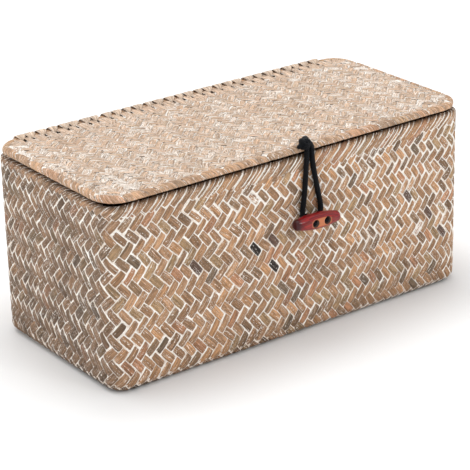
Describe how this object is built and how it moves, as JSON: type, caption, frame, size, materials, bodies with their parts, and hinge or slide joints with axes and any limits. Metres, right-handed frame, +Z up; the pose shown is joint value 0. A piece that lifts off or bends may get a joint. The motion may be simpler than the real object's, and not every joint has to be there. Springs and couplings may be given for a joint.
{
  "type": "woven lidded box",
  "caption": "Plaited leaf storage box with a laced lid, closed by a black cord loop over a red wooden toggle.",
  "frame": {"origin": "middle of the underside of the floor, on the surface that the box stands on", "axes": "+Z up, +X along the length, front with the toggle towards -Y, hinge at +Y"},
  "size_m": [0.3, 0.1597, 0.1451],
  "materials": {
    "plait": "matte, white-washed",
    "plait_inside": "matte",
    "cane": "satin",
    "lacing": "matte",
    "cord": "waxed",
    "toggle": "gloss lacquer"
  },
  "bodies": {
    "box": {"body_weave": "plait", "body_lining": "plait_inside", "rim_rod": "cane", "hinge_lacing": "lacing"},
    "lid": {"lid_weave": "plait", "lid_lining": "plait_inside", "lid_rod": "cane", "lid_knot": "cord", "under_knot": "cord"},
    "loop": {"cord_loop": "cord"},
    "toggle": {"toggle_button": "toggle", "toggle_thread": "cord", "thread_knot": "cord"}
  },
  "joints": [
    {"name": "lid_hinge", "type": "hinge", "parent": "box", "child": "lid", "pos_m": [0, 0.06685, 0.13345], "axis": [-1, 0, 0], "range_deg": [0, 180], "deforming": ["cord_loop"]},
    {"name": "loop_swing", "type": "hinge", "parent": "lid", "child": "loop", "pos_m": [0.009, -0.0721, 0.1325], "axis": [-1, 0, 0], "range_deg": [0, 80], "deforming": ["cord_loop"]},
    {"name": "toggle_swivel", "type": "hinge", "parent": "box", "child": "toggle", "pos_m": [0.0079, -0.0819, 0.0868], "axis": [0, -1, 0], "range_deg": [-90, 90]}
  ]
}
